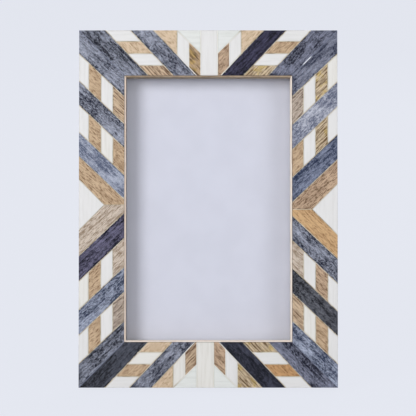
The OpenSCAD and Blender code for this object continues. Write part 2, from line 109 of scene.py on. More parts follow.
# %% Rings to triangles
def between(a, b):
    """Two triangles for each quad between two stacks of matching closed rings of numbers."""
    a2, b2 = np.roll(a, -1, axis=-1), np.roll(b, -1, axis=-1)
    quads = (np.stack([a, a2, b2], axis=-1), np.stack([a, b2, b], axis=-1))
    return np.concatenate([q.reshape(-1, 3) for q in quads])


def wrap(rings, first=None, last=None):
    """Closes a stack of rings with a fan round one middle point at each end."""
    ids = np.arange(rings.shape[0] * rings.shape[1]).reshape(rings.shape[:2])
    ends = np.array([rings[0].mean(axis=0) if first is None else first,
                     rings[-1].mean(axis=0) if last is None else last])
    points = np.concatenate([rings.reshape(-1, 3), ends])
    fans = [np.stack([np.full_like(ring, hub), np.roll(ring, -step), ring], axis=-1)
            for ring, hub, step in ((ids[0], ids.size, 1), (ids[-1], ids.size + 1, -1))]
    return points, np.concatenate([between(ids[:-1], ids[1:]), *fans])


def outward(points, faces):
    """Turns the triangles round if they enclose a negative volume, a sum of triple products."""
    a, b, c = points[faces].transpose(1, 0, 2)
    return faces if np.einsum("ij,ij->", a, np.cross(b, c)) > 0 else faces[:, ::-1]


print("triangles of three rings of eight points:", len(wrap(np.zeros((3, 8, 3)))[1]))

# %% [markdown]
# ## From shells to a named piece
#
# A piece may hold several shells, such as the nine bone tiles of one rail. Each carries its
# grain as a UV map in metres, and as attributes the tints, figure and streak of its stock and
# every point's distance from the nearest edge. So one material finishes all the tiles, and
# yet each tile shows its own stock and is worn along its own edges.

# %% One object from many shells
PLAIN = ((1.0, 1.0, 1.0, 1.0), (0.0, 0.0, 0.0, 1.0), 0.5, 0.5)
STOCK_KEYS = ("light", "dark", "figure", "streak")
by_slot = defaultdict(list)


def shell(points, faces, grain, stock=PLAIN, edge=1.0):
    """One closed shell: points in metres, triangles, grain, stock, edge distances in mm."""
    rows = (len(points), 1)
    columns = {key: np.tile(value, rows) for key, value in zip(STOCK_KEYS, stock)}
    return {"points": points, "faces": outward(points, faces), "grain": grain, **columns,
            "edge": np.broadcast_to(edge, rows[0])[:, None]}


def put(name, data):
    """Links a new object to the scene, at the origin and unturned."""
    made = bpy.data.objects.new(name, data)
    bpy.context.scene.collection.objects.link(made)
    return made


def dress(name, mesh, slot, node, body, smooth):
    """Makes a mesh a piece that rides on a body and stands for a CAD node. Edges that turn by
    more than the angle smooth, in degrees, stay sharp."""
    mesh.shade_smooth()
    mesh.set_sharp_from_angle(angle=np.radians(smooth))
    made = put(name, mesh)
    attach(made, body)
    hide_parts(node)
    by_slot[slot].append(made)
    print(f"{name}: {len(mesh.polygons)} faces")
    return made


def piece(name, shells, slot, node, body="frame", smooth=40):
    """Joins the shells into one mesh with a grain map and attributes, and dresses it."""
    starts = np.cumsum([0] + [len(s["points"]) for s in shells[:-1]])
    faces = np.concatenate([s["faces"] + start for s, start in zip(shells, starts)])
    joined = {key: np.concatenate([s[key] for s in shells]).astype(np.float32)
              for key in shells[0] if key != "faces"}
    mesh = bpy.data.meshes.new(name)
    mesh.from_pydata(joined.pop("points"), [], faces)
    grain = joined.pop("grain")[faces.ravel()]
    mesh.uv_layers.new(name="grain").data.foreach_set("uv", grain.ravel())
    for key, column in joined.items():
        kind, field = ("FLOAT_COLOR", "color") if column.shape[1] == 4 else ("FLOAT", "value")
        mesh.attributes.new(key, kind, "POINT").data.foreach_set(field, column.ravel())
    mesh.validate()
    return dress(name, mesh, slot, node, body, smooth)


print("beside its points, a shell keeps: faces grain", *STOCK_KEYS, "edge")

# %% [markdown]
# ## How the inlay is set out
#
# The inlay worker glues long strips of stock side by side, slices the sandwich on the slant
# and sets the slices round the rail, so every tile is a blank cut along straight lines. The
# same is done here in two dimensions, with s along the rail from its middle and d inwards
# from its outer edge. A cut keeps one side of a line, so neighbours stay exactly parallel.

# %% The cuts
TINY = 0.02


def edges_of(outline):
    """The way from each corner to the next."""
    return np.roll(outline, -1, axis=0) - outline


def lengths_of(outline):
    return np.linalg.norm(edges_of(outline), axis=1)


def cut(p, q, keep):
    """The line from p to q as a point and a unit normal towards the side where keep lies."""
    p, q, keep = (np.array(point, float) for point in (p, q, keep))
    normal = np.array([q[1] - p[1], p[0] - q[0]]) / np.linalg.norm(q - p)
    return p, normal * np.sign(normal @ (keep - p))


def clip(tile, line):
    """Keeps the corners on the line's side and adds a corner where an edge crosses it."""
    point, normal = line
    here = (tile - point) @ normal
    there = np.roll(here, -1)
    crossing = here * there < 0
    share = np.divide(here, here - there, out=np.zeros_like(here), where=crossing)
    met = tile + edges_of(tile) * share[:, None]
    both = np.stack([tile, met], axis=1).reshape(-1, 2)
    return both[np.stack([here >= 0, crossing], axis=1).ravel()]


def carve(stock, *lines):
    return reduce(clip, lines, stock)


def tidy(outline):
    """Drops corners that coincide with the next one and runs the rest anticlockwise."""
    kept = outline[lengths_of(outline) > TINY]
    ahead = np.roll(kept, -1, axis=0)
    twice_area = np.sum(kept[:, 0] * ahead[:, 1] - kept[:, 1] * ahead[:, 0])
    return kept if twice_area > 0 else kept[::-1]


def inset(outline, gap):
    """Cuts the outline again along every edge, moved inwards by the gap."""
    outline = tidy(outline)
    edges = zip(outline, np.roll(outline, -1, axis=0))
    lines = [cut(a, b, outline.mean(axis=0)) for a, b in edges]
    return carve(outline, *((point + normal * gap, normal) for point, normal in lines))


def blank(s1, s2, d1, d2):
    return np.array([[s1, d1], [s2, d1], [s2, d2], [s1, d2]], float)


half_square = carve(blank(0, 1, 0, 1), cut((0, 1), (1, 0), (0, 0)))
print("corners of a square cut along its diagonal:", len(half_square))

# %% [markdown]
# The worker marks the outer edge from the corner inwards, a field of bars and a dyed strip by
# turns, and every slanted cut goes through a mark. The point is the white figure at the
# middle: an arrowhead between wooden arms on a side rail, and two caps beside a bar, with
# upright bars around them, on an end rail.

# %% Marks, and the lines through them
RAIL_W, LIP_W, JOINT = 25.2, 0.7, 0.35
INLAY_W = RAIL_W - LIP_W
SLANT_RUN = np.tan(np.radians(43.5))
MIDDLE_HALF, UPRIGHT_BAR = 4.55, 6.35
BAR_COUNT = 4
HALVES = (-1, 1)


class Rail:
    """One rail's layout. A side is -1 or 1, and the point is given as its half width and its
    depth. The first bar has its own width, and the last one ends at the lip."""

    def __init__(self, half, corner, field, strip, strips, bars, middle, point, shift):
        self.half, self.middle, self.point, self.shift = half, middle, point, shift
        self.marks = half - corner - np.cumsum([0, *[field, strip] * strips])
        self.depths = [-JOINT / 2, *(bars[0] + bars[1] * np.arange(BAR_COUNT - 1)), INLAY_W]

    def plank(self, first=0, last=BAR_COUNT):
        """A blank longer than the rail, from the outer side of one bar to that of another."""
        return blank(-2 * self.half, 2 * self.half, self.depths[first], self.depths[last])

    def upright(self, side, k, wide):
        """A blank across the rail that starts k upright bars beyond the middle bar."""
        s = self.shift + side * (self.middle + k * UPRIGHT_BAR)
        return blank(s, s + side * wide, self.depths[0], INLAY_W)

    def slanted(self, side, i, out):
        """The slanted line through mark i; out is 1 to keep what lies beyond it, -1 the middle."""
        mark = self.marks[i]
        s = side * mark + self.shift * (1 - mark / self.marks[0])
        return cut((s, 0), (s - side * SLANT_RUN, 1), (s + side * out, 0))

    def half_of(self, side):
        """Keeps one side's half, from the middle line or from the middle bar's side."""
        s = self.shift + side * self.middle
        return cut((s, 0), (s, 1), (s + side, 0))

    def mitre(self, side):
        return cut((side * self.half, 0), (side * (self.half - 1), 1), (0, 0))

    def point_side(self, side, out):
        """One side of the point; out is 1 to keep what lies outside it, 0 the point."""
        (wide, deep), c = self.point, self.shift
        return cut((c + side * wide, 0), (c + side * self.middle, deep),
                   (c + 2 * side * out * wide, 0))

    def slice(self, side, i, *bars):
        """What lies between marks i and i + 1 on one side."""
        return carve(self.plank(*bars), self.slanted(side, i + 1, 1),
                     self.slanted(side, i, -1), self.half_of(side))

    def beside(self, side, stock):
        """What lies between the point and the last strip."""
        return carve(stock, self.point_side(side, 1), self.slanted(side, -1, -1))


END = {"half": FRAME_W / 2, "corner": 14.2, "field": 13.3, "strip": 12.4, "strips": 1,
       "bars": (6.0, 6.5), "middle": MIDDLE_HALF, "point": (MIDDLE_HALF + 2 * UPRIGHT_BAR, 12.3)}
SIDE = {"half": FRAME_H / 2, "corner": 12.7, "field": 14.9, "strip": 13.4, "strips": 2,
        "bars": (5.3, 6.5), "middle": 0.0, "point": (13.8, 13.7)}
RAILS = {"top": Rail(**END, shift=0.5), "bottom": Rail(**END, shift=-1.6),
         "left": Rail(**SIDE, shift=2.0), "right": Rail(**SIDE, shift=-0.4)}
print("marks of a side rail from its middle, mm:", RAILS["left"].marks.round(2))

# %% The tiles of a rail
def rail_tiles(rail):
    """All the tiles of a rail by material, each list in the order it is cut."""
    def bars(first):
        return [rail.slice(side, i, bar, bar + 1) for side in HALVES
                for i in range(0, last, 2) for bar in (first, first + 2)]

    def uprights(k, wide=UPRIGHT_BAR):
        return [rail.beside(side, rail.upright(side, k, wide)) for side in HALVES]

    last, c, middle = len(rail.marks) - 1, rail.shift, rail.middle
    white, wood, dyed = bars(0), bars(1), []
    for side in HALVES:
        dyed.append(carve(rail.plank(), rail.slanted(side, 0, 1), rail.mitre(side),
                          rail.half_of(side)))
        dyed += [rail.slice(side, i) for i in range(1, last, 2)]
    if middle:
        white.append(blank(c - middle, c + middle, rail.depths[0], INLAY_W))
        white += [carve(rail.upright(side, 0, 2 * UPRIGHT_BAR), rail.point_side(side, 0))
                  for side in HALVES]
        white += uprights(1)
        wood += uprights(0) + uprights(2, FRAME_W)
    else:
        white.append(carve(rail.plank(), *(rail.point_side(side, 0) for side in HALVES)))
        wood += [rail.beside(side, carve(rail.plank(), rail.half_of(side))) for side in HALVES]
    return {"white": white, "wood": wood, "dyed": dyed}


tiles_of = {name: rail_tiles(rail) for name, rail in RAILS.items()}
for rail, kinds in tiles_of.items():
    print(f"tiles of the {rail} rail:", {kind: len(group) for kind, group in kinds.items()})

# %% [markdown]
# ## The stock of the tiles
#
# A dye bath never takes evenly, so the worker picks from a pile of greys and blues. Each bath
# is written as a paler and a darker tint, a figure that says how hard the mottling shows, and
# a streak that says how much of it runs in long lines. Wood and white bone are written the
# same way, and each rail lists what was picked.

# %% Baths, woods and bones
def tint(code):
    """A screen colour such as #7C8599 as linear light: each part to a power of about 2.2."""
    part = np.array([int(code[i:i + 2], 16) for i in (1, 3, 5)]) / 255
    return (*np.where(part > 0.04045, ((part + 0.055) / 1.055) ** 2.4, part / 12.92), 1.0)


DYES = {
    "mist": "#CCCFDA #555B70 1.1 0.2", "pewter": "#B3B9C8 #4E566C 1.1 0.4",
    "slate": "#AEB3C2 #171A2B 1.05 0.2", "storm": "#9DA2B1 #080918 1.15 0.3",
    "blue": "#8C94A9 #232C44 1.1 0.3", "deep": "#898DA0 #06071A 1.2 0.3",
    "lake": "#B4BCCF #222B42 1.05 0.3", "navy": "#47455C #03020E 1.0 0.5",
    "plum": "#737089 #080618 1.0 0.6", "charcoal": "#51545F #04050C 1.3 0.3",
    "smoke": "#6B6D75 #090A12 1.3 0.2", "dusk": "#979BAB #20253A 0.9 0.3",
    "ink": "#464857 #0C0E18 1.0 0.3",
}
WOODS = {
    "sand": "#D6C0A4 #9C7F5F 0.8 0.2", "honey": "#C6AC8D #7B5E40 0.9 0.3",
    "umber": "#CCB497 #60442C 0.55 0.9", "olive": "#CFBC9E #624A2C 0.55 0.96",
    "speckled": "#C2A78C #6A5038 1.1 0.3", "ash": "#CFC1B2 #85715C 0.9 0.6",
    "drift": "#C0B1A2 #5F4D3F 0.8 0.6", "tobacco": "#BFA482 #4A341D 0.5 0.95",
    "amber": "#C59B6D #7C5630 0.7 0.3", "gold": "#CDA97D #825D36 0.7 0.3",
}
BONES = {"chalk": "#E1E0DE #CDCBC6 0.35 0.2", "ivory": "#E2E0DA #CBC7BC 0.45 0.3",
         "horn": "#DFE1DD #C8CAC4 0.45 0.3"}

DYED_STOCK = {
    "top": "storm slate deep navy",
    "bottom": "charcoal slate deep ink",
    "left": "storm lake plum slate slate pewter",
    "right": "lake smoke slate dusk mist blue",
}
WOOD_STOCK = {
    "top": "sand umber honey olive tobacco speckled sand sand",
    "bottom": "honey sand amber olive umber speckled sand olive",
    "left": "honey drift honey ash honey umber honey honey ash honey",
    "right": "honey umber speckled ash olive drift olive honey gold speckled",
}
WHITE_STOCK = {
    "top": "chalk chalk chalk chalk chalk horn horn chalk chalk",
    "bottom": "chalk ivory chalk chalk ivory horn horn ivory chalk",
    "left": "chalk chalk ivory chalk chalk chalk chalk ivory chalk",
    "right": "chalk ivory chalk chalk ivory chalk chalk chalk chalk",
}


def stock_of(names, book):
    rows = (book[name].split() for name in names.split())
    return [(tint(light), tint(dark), *map(float, rest)) for light, dark, *rest in rows]


print(len(DYES), "dyes,", len(WOODS), "woods and", len(BONES), "bones")

# %% [markdown]
# ## A tile as a surface
#
# The rings of a tile climb its wall, turn over a small arris, worn by the sanding, and shrink
# towards the middle while the face swells by a few hundredths of a millimetre, as a
# hand-rubbed tile does. A ring stands where the worn rim ends, so that the distance from the
# edge is exact there. Each corner moves along the sum of its two edge normals over one plus
# their product, so that all the sides stay parallel.

# %% Outlines, arrises and slabs
RIM = 0.12


def edge_normals(outline):
    edges = edges_of(outline) / lengths_of(outline)[:, None]
    return np.stack([-edges[:, 1], edges[:, 0]], axis=1)


def ways_in(outline):
    """How each corner moves for an inset of 1: (n1 + n2) / (1 + n1 . n2)."""
    after = edge_normals(outline)
    before = np.roll(after, 1, axis=0)
    return (before + after) / (1 + np.sum(before * after, axis=1, keepdims=True))


def rounded(corners, radius, steps=7):
    """Swaps each corner for an arc: centre - radius * normal, as the normal turns round."""
    corners = np.asarray(corners, float)
    after = edge_normals(corners)
    before = np.roll(after, 1, axis=0)
    crossed = before[:, 0] * after[:, 1] - before[:, 1] * after[:, 0]
    angle = np.arctan2(crossed, np.sum(before * after, axis=1))[:, None] * np.linspace(0, 1, steps)
    x, y, cos, sin = before[:, 0, None], before[:, 1, None], np.cos(angle), np.sin(angle)
    normal = np.stack([x * cos - y * sin, x * sin + y * cos], axis=-1)
    radii = np.broadcast_to(radius, len(corners))[:, None, None]
    centres = (corners + ways_in(corners) * radii[:, 0])[:, None]
    return tidy((centres - radii * normal).reshape(-1, 2))


def resample(corners, counts):
    """Walks round the corners with equal steps along each edge."""
    share = np.concatenate([np.arange(count) / count for count in counts])[:, None]
    edges = np.repeat(edges_of(corners), counts, axis=0)
    return np.repeat(corners, counts, axis=0) + edges * share


def slab(outline, back, front, arris, crown=0.0, step=4.0, middle=None, rims=(RIM,)):
    """A flat piece between two levels, rounded at both rims, with narrow level rims inside each
    arris so that the shading of the arris stops there. Its front swells by
    crown * (1 - share ** 2), where share is how far out from the middle a ring lies."""
    outline = tidy(outline)
    ways = ways_in(outline)
    counts = np.maximum(1, np.ceil(lengths_of(outline) / step)).astype(int)
    t = np.linspace(0, np.pi / 2, 4)
    drawn = np.append(arris * (1 - np.cos(t)), arris + np.array(rims))
    below = np.append(arris * (1 - np.sin(t)), np.zeros(len(rims)))
    up = np.sign(front - back)
    insets = np.concatenate([drawn[::-1], drawn])
    levels = np.concatenate([back + up * below[::-1], front - up * below])
    flat = np.stack([resample(outline + way * ways, counts) for way in insets])
    middle = flat[-1].mean(axis=0) if middle is None else np.array(middle)
    shares = np.array([0.85, 0.55, 0.25])[:, None, None]
    flat = np.concatenate([flat, middle + (flat[-1] - middle) * shares])
    levels = np.concatenate([levels, front + up * crown * (1 - shares.ravel() ** 2)])
    levels = np.broadcast_to(levels[:, None, None], (*flat.shape[:2], 1))
    return wrap(np.concatenate([flat, levels], axis=-1), first=[*middle, back],
                last=[*middle, front + up * crown])


def on_face(rail, points):
    """Turns [s, d, depth] of a rail's layout into a place on the upright frame."""
    s, d, depth = points.T
    half_w, half_h = FRAME_W / 2, FRAME_H / 2
    x, up = {"top": (s, half_h - d), "bottom": (s, d - half_h),
             "left": (d - half_w, s), "right": (half_w - d, s)}[rail]
    return np.stack([x, depth, up + half_h], axis=1)


print("points of a square with rounded corners:", len(rounded(blank(0, 9, 0, 9), 2)))

# %% [markdown]
# The saw leaves wood and dyed bone with the fibre running along the strips, and white bone
# with the fibre along each tile's longer side. Every tile takes its grain from a fresh place.

# %% Tiles into pieces
TILE_T, TILE_ARRIS, TILE_CROWN, WALL_EASE = 2.0, 0.08, 0.03, 0.005
CHIP_RIM, FAR = 0.6, 9.0
STOCK_STEP = np.array([37.3, 11.9])


def grain_of(points, angle, number):
    """Grain coordinates, in metres: the layout turned by the grain's angle, on fresh stock."""
    s, d, depth = points.T
    cos, sin = np.cos(angle), np.sin(angle)
    turned = np.stack([s * cos + d * sin, d * cos - s * sin + depth], axis=1)
    return (turned + STOCK_STEP * number) * MM


def edge_distance(points, outline, half, sawn_only):
    """The least distance to an outline's edges: min over the edges of (point - corner) . normal.

    With sawn_only, the edges level with the rail's and those on the mitre are left out."""
    outline = tidy(outline)
    ahead = np.roll(outline, -1, axis=0)
    level = np.abs(ahead[:, 1] - outline[:, 1]) < TINY
    to_mitre = [half - np.abs(ends[:, 0]) - ends[:, 1] for ends in (outline, ahead)]
    left_out = sawn_only & (level | (np.maximum(*to_mitre) < JOINT))
    across = np.sum((points[:, None, :2] - outline) * edge_normals(outline), axis=-1)
    return np.where(left_out, FAR, across).min(axis=1)


def tile_shell(rail, outline, stock, kind, number):
    outline = inset(outline, JOINT / 2 + WALL_EASE)
    points, faces = slab(outline, TILE_T, 0.0, TILE_ARRIS, TILE_CROWN, rims=(RIM, CHIP_RIM))
    side = np.sign(outline[:, 0].mean() - RAILS[rail].shift)
    length, depth = np.ptp(outline, axis=0)
    slant, square = np.arctan2(1, -side * SLANT_RUN), np.pi / 2 * (depth > length)
    grain = grain_of(points, square if kind == "white" else slant, number)
    edge = edge_distance(points, outline, RAILS[rail].half, kind == "dyed")
    return shell(stand(on_face(rail, points)), faces, grain, stock, edge)


KINDS = {"white": ("white_bone", "white_bone_", WHITE_STOCK, BONES),
         "wood": ("inlay_wood", "wood_inlay_", WOOD_STOCK, WOODS),
         "dyed": ("dyed_bone", "dyed_bone_", DYED_STOCK, DYES)}
numbers = count()
for rail, kinds in tiles_of.items():
    for kind, outlines in kinds.items():
        slot, stem, picked, book = KINDS[kind]
        shells = [tile_shell(rail, outline, stock, kind, next(numbers))
                  for outline, stock in zip(outlines, stock_of(picked[rail], book))]
        piece(f"{kind}_tiles_{rail}", shells, slot, stem + rail)
        corners = np.concatenate([s["points"] for s in shells])
        off = np.abs(np.array([corners.min(0), corners.max(0)]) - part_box(stem + rail)).max()
        print(f"  furthest from the CAD tiles' box: {off / MM:.3f} mm")

# %% [markdown]
# ## Rails and lipping
#
# The rails are planed to an L-shaped section, which leaves the rebate for the glass, and sawn
# at forty-five degrees. Such a moulding is a profile carried along a path, whose length
# shrinks with the depth d, so that the ends meet on the mitre. The lipping is a thin strip
# made the same way. Its four strips carry painted light in their tints: the top one, whose
# inner face looks down, is darker as painted shade, and the bottom one, facing up, is lighter
# as if lit. The left strip's inner wall is painted brown as shade in the recess: its edge
# distance grows with the depth, and the material darkens with that.

# %% Mouldings
BED_T, RAIL_BACK_W, GLASS_FRONT, MITRE_GAP = 0.6, 18.2, 9.8, 0.02


def moulding(rail, profile, number, stock=PLAIN, darkened=False, stations=9):
    """Carries a section along a rail: s runs from -(half - d) to half - d at every point.

    The grain is laid along s and round the section, by the shorter way from its first point."""
    d, depth = profile.T
    s = np.linspace(-1, 1, stations)[:, None] * (RAILS[rail].half - d - MITRE_GAP)
    points, faces = wrap(np.stack([s, d + 0 * s, depth + 0 * s], axis=-1))
    steps = lengths_of(profile)
    girth = np.cumsum(steps) - steps
    across = np.append(np.tile(np.minimum(girth, steps.sum() - girth), stations), [0, 0])
    grain = (np.stack([points[:, 0], across], axis=1) + STOCK_STEP * number) * MM
    # For the left lip the edge distance grows with the depth, which the lipping material turns
    # into painted shade down its inner wall.
    return shell(stand(on_face(rail, points)), faces, grain, stock, 1 + points[:, 2] * darkened)


SKIN_T = TILE_T + BED_T
RAIL_SECTION = rounded([[0, SKIN_T], [INLAY_W, SKIN_T], [INLAY_W, GLASS_FRONT],
                        [RAIL_BACK_W, GLASS_FRONT], [RAIL_BACK_W, FRAME_T], [0, FRAME_T]],
                       [0.05, 0.05, 0.2, 0.0, 0.4, 0.7])
LIP_SECTION = rounded(blank(INLAY_W, RAIL_W, 0, GLASS_FRONT), [0.08, 0.25, 0.15, 0.05])
# Painted light: each lip strip has its own tint, the top one darker as shade on a face turned
# down, the bottom one lighter as a lit face turned up.
LIP_TINTS_PAINTED_LIGHT = {"top": "#A9957C #7A6851 0.8 0.5", "bottom": "#F3E8DE #DBC7B3 0.5 0.3",
             "left": "#E9D9CA #CDB49C 0.5 0.3", "right": "#F1E6DA #DCC8B2 0.4 0.3"}
for number, rail in enumerate(RAILS):
    piece(f"moulding_{rail}", [moulding(rail, RAIL_SECTION, number)], "core_wood", f"rail_{rail}")
    stock, = stock_of(rail, LIP_TINTS_PAINTED_LIGHT)
    # The left strip gets painted shade down its inner wall.
    strip = moulding(rail, LIP_SECTION, number + len(RAILS), stock, darkened=rail == "left")
    piece(f"lip_strip_{rail}", [strip], "lipping", f"lipping_{rail}")

# %% [markdown]
# ## Glass, card and boards
#
# The sheets are plain rectangles, but none has a knife edge: glass is seamed with a stone,
# card is soft at the rim and board is sanded, so each has its own arris. A hairline of air is
# left in front of each, because two faces in one place would show through in patches.

# %% The stack in the rebate
PANE_W, PANE_H, BOARD_T, AIR = 101.6, 152.4, 3.0, 0.04


def upright(points, middle_up=FRAME_H / 2):
    """Puts a slab's [a, b, level] on the upright frame: a across, b up, level behind the face."""
    return points[:, [0, 2, 1]] + np.array([0, 0, middle_up])


front = GLASS_FRONT
for name, thick, arris, slot, node in (("glass_sheet", 2.0, 0.2, "glass", "glass_pane"),
                                       ("card_sheet", 0.4, 0.1, "card", "insert_card"),
                                       ("filler_sheet", 1.5, 0.2, "filler", "filler_board"),
                                       ("backing_sheet", BOARD_T, 0.35, "board", "back_board")):
    outline = rounded(blank(-PANE_W / 2, PANE_W / 2, -PANE_H / 2, PANE_H / 2), 2 * (arris + RIM))
    points, faces = slab(outline, front + AIR, front + thick, arris, step=12)
    grain = (points[:, :2] + points[:, 2:]) * MM
    piece(name, [shell(stand(upright(points)), faces, grain)], slot, node)
    front += thick
BOARD_BACK = front

# %% [markdown]
# ## The easel leg
#
# The leg is a tapered board, wider at its foot so that the frame doesn't rock, with eased
# corners. It is drawn folded, hanging from the hinge pin, swung open and then levelled on the
# table: any point that would lie under the table is lifted to it, as a sanded foot is.

# %% The leg, swung open on its pin
LEG_OPEN = np.radians(25)
LEG_T, LEG_TOP_W, LEG_FOOT_W, LEG_CORNER = 3.0, 26.0, 46.0, 3.0
PIN_RISE, LEAF_START, HINGE_UP = 2.45, 2.75, 123.0
LEG_IN = -1.75
LEG_OUT = LEG_IN + LEG_T
hinge_place = np.array([0, BOARD_BACK + PIN_RISE, HINGE_UP])
pin_up = stand(hinge_place)[2] / MM
FOOT_LEN = (pin_up + LEG_OUT * np.sin(LEG_OPEN - LEAN)) / np.cos(LEG_OPEN - LEAN)

leg_outline = rounded([[-LEG_FOOT_W / 2, -FOOT_LEN], [LEG_FOOT_W / 2, -FOOT_LEN],
                       [LEG_TOP_W / 2, -LEAF_START], [-LEG_TOP_W / 2, -LEAF_START]], LEG_CORNER)
points, faces = slab(leg_outline, LEG_IN, LEG_OUT, 0.4, step=6)
grain = (points[:, [1, 0]] + points[:, 2:]) * MM
placed = stand(turn(upright(points, 0), LEG_OPEN) + hinge_place)
placed[:, 2] = np.maximum(placed[:, 2], 0)
piece("leg_board", [shell(placed, faces, grain)], "board", "easel_leg", "leg")
print("lowest point of the leg, mm:", round(placed[:, 2].min() / MM, 3))

# %% [markdown]
# ## Rivets, screws and the tack
#
# Turned metal is a profile spun round its axis. A rivet head is a low dome, a quarter of an
# ellipse from rim to crown. A screw head is the same dome with a cross recess: the level
# drops where either arm reaches, a product of two smooth steps, across the arm and along it.

# %% Spun pieces
RIVET_R, RIVET_HEAD_R, RIVET_HEAD_T, RIVET_X, RIVET_Z = 1.2, 2.2, 0.9, 8.2, 8.5
LEAF_T = 0.9
SCREW_R, SCREW_HEAD_R, SCREW_HEAD_T, SCREW_LEN = 1.5, 3.0, 1.5, 9.0
ARM_W, ARM_LEN, CROSS_DEPTH = (0.22, 0.42), (1.2, 1.6), 0.8
RINGS, HUB_R = 11, 0.05


def around(sides):
    return np.linspace(0, 2 * np.pi, sides, endpoint=False)


def smooth_step(value, low, high):
    share = np.clip((value - low) / (high - low), 0, 1)
    return share * share * (3 - 2 * share)


def spun(inner, base, shank_r, head_r, head_t, sides=36, cross=0.0):
    """A shank from level inner to base, then a dome: radius head_r cos v, level base +
    head_t sin v. A cross recess of the given depth needs finer rings near the middle."""
    v = np.linspace(0, np.pi / 2, RINGS, endpoint=False)
    radii = np.concatenate([[shank_r, shank_r], head_r * np.cos(v)])
    levels = np.concatenate([[inner, base], base + head_t * np.sin(v)])
    if cross:
        radii = np.concatenate([radii, np.linspace(radii[-1], HUB_R, RINGS + 1)[1:]])
        levels = np.concatenate([levels, np.full(RINGS, base + head_t)])
    t = around(sides)
    x, y = radii[:, None] * np.cos(t), radii[:, None] * np.sin(t)
    arms = [(1 - smooth_step(np.abs(a), *ARM_W)) * (1 - smooth_step(np.abs(b), *ARM_LEN))
            for a, b in ((x, y), (y, x))]
    level = levels[:, None] + 0 * t
    level = level - cross * np.maximum(*arms) * (level > base + 0.3 * head_t)
    points, faces = wrap(np.stack([x, y, level], axis=-1))
    if cross:
        points[-1, 2] = base + head_t - cross
    return points, faces


def fastener(turned, across, up, twist=0.0, origin=0.0, swing=0.0):
    """The shell of a spun piece with its axis along the depth, at a place across and up from
    an origin, and swung round that origin."""
    (points, faces), cos, sin = turned, np.cos(twist), np.sin(twist)
    x, y, level = points.T
    placed = np.stack([x * cos - y * sin + across, level, x * sin + y * cos + up], axis=1)
    return shell(stand(turn(placed, swing) + origin), faces, points[:, :2] * MM)


for name, body, ends, up, swing in (
        ("upper", "frame", (-PIN_RISE - BOARD_T, LEAF_T - PIN_RISE), RIVET_Z, 0.0),
        ("lower", "leg", (LEG_IN, LEG_OUT + LEAF_T), -RIVET_Z, LEG_OPEN)):
    rivet = spun(*ends, RIVET_R, RIVET_HEAD_R, RIVET_HEAD_T)
    rivets = [fastener(rivet, side * RIVET_X, up, origin=hinge_place, swing=swing)
              for side in HALVES]
    piece(f"rivets_{name}", rivets, "steel", f"hinge_{name}_rivets", body)

# %% [markdown]
# ## Turn buttons and their screws
#
# A turn button is stamped from brass strip with round ends. Its edges are drawn over a little
# by the punch and its face is very slightly domed, which the slab's arris and crown give.

# %% Four buttons, four screws
BUTTON_LEN, BUTTON_W, BUTTON_T, BUTTON_CROWN = 21.0, 9.0, 1.2, 0.1
SCREW_X, SCREW_UP, PLAY = FRAME_W / 2 - RAIL_BACK_W + 8.0, 50.5, 0.25
BUTTON_LEVEL = FRAME_T + PLAY
HEAD_LEVEL = BUTTON_LEVEL + BUTTON_T + PLAY
ROUND_END = BUTTON_W / 2 - 0.01
SCREW_TWIST = {("upper", -1): 0.4, ("upper", 1): 1.1, ("lower", -1): -0.2, ("lower", 1): 0.75}
screws = []
for (level_name, side), twist in SCREW_TWIST.items():
    up = FRAME_H / 2 + (SCREW_UP if level_name == "upper" else -SCREW_UP)
    ends = sorted((BUTTON_W / 2 * side, (BUTTON_W / 2 - BUTTON_LEN) * side))
    outline = rounded(blank(*ends, -BUTTON_W / 2, BUTTON_W / 2), ROUND_END, 12)
    front = BUTTON_LEVEL + BUTTON_T - BUTTON_CROWN
    points, faces = slab(outline, BUTTON_LEVEL, front, 0.3, BUTTON_CROWN)
    grain = points[:, :2] * MM + STOCK_STEP * MM * len(screws)
    placed = stand(upright(points + np.array([side * SCREW_X, 0, 0]), up))
    body = f"button_{level_name}_{'left' if side < 0 else 'right'}"
    piece(f"stamped_{body}", [shell(placed, faces, grain)], "brass", f"turn_{body}", body)
    turned = spun(FRAME_T - SCREW_LEN, HEAD_LEVEL, SCREW_R, SCREW_HEAD_R, SCREW_HEAD_T,
                  sides=72, cross=CROSS_DEPTH)
    screws.append(fastener(turned, side * SCREW_X, up, twist))
piece("button_screws", screws, "steel", "turn_button_screws")

# %% [markdown]
# ## Hanging ring and tack
#
# The ring is bent from one round wire: a bar in the strap's curl, two short sides and a half
# circle. It is a tube, a circle carried round a flat closed path, so the circle's two axes
# are the way sideways in the plane and the plane's normal.

# %% A wire tube round a closed path
RING_UP, RING_RISE, RING_R, RING_SIDE, WIRE_R = 156.0, 1.93, 8.5, 3.0, 0.8
RING_BENDS = [RING_R - 0.01, RING_R - 0.01, 1.2, 1.2]
TACK_DROP, TACK_R, TACK_HEAD_R, TACK_HEAD_T, STRAP_T = 13.8, 0.7, 2.0, 0.7, 0.8
ring_place = np.array([0, BOARD_BACK + RING_RISE, RING_UP])


def tube(path, radius, sides=16):
    """path + radius * (cos a * sideways + sin a * normal), for a closed path in the XZ plane."""
    ahead = edges_of(path) + np.roll(edges_of(path), 1, axis=0)
    ahead = ahead / np.linalg.norm(ahead, axis=1, keepdims=True)
    sideways = np.stack([ahead[:, 1], -ahead[:, 0]], axis=1)
    a = around(sides)
    flat = path[:, None] + radius * np.cos(a)[:, None] * sideways[:, None]
    depth = np.broadcast_to(radius * np.sin(a), flat.shape[:2])
    points = np.stack([flat[..., 0], depth, flat[..., 1]], axis=-1)
    ids = np.arange(points.shape[0] * sides).reshape(points.shape[:2])
    run = np.cumsum(lengths_of(path))
    grain = np.stack([np.repeat(run, sides), np.tile(radius * a, len(path))], axis=1) * MM
    return points.reshape(-1, 3), between(ids, np.roll(ids, -1, axis=0)), grain


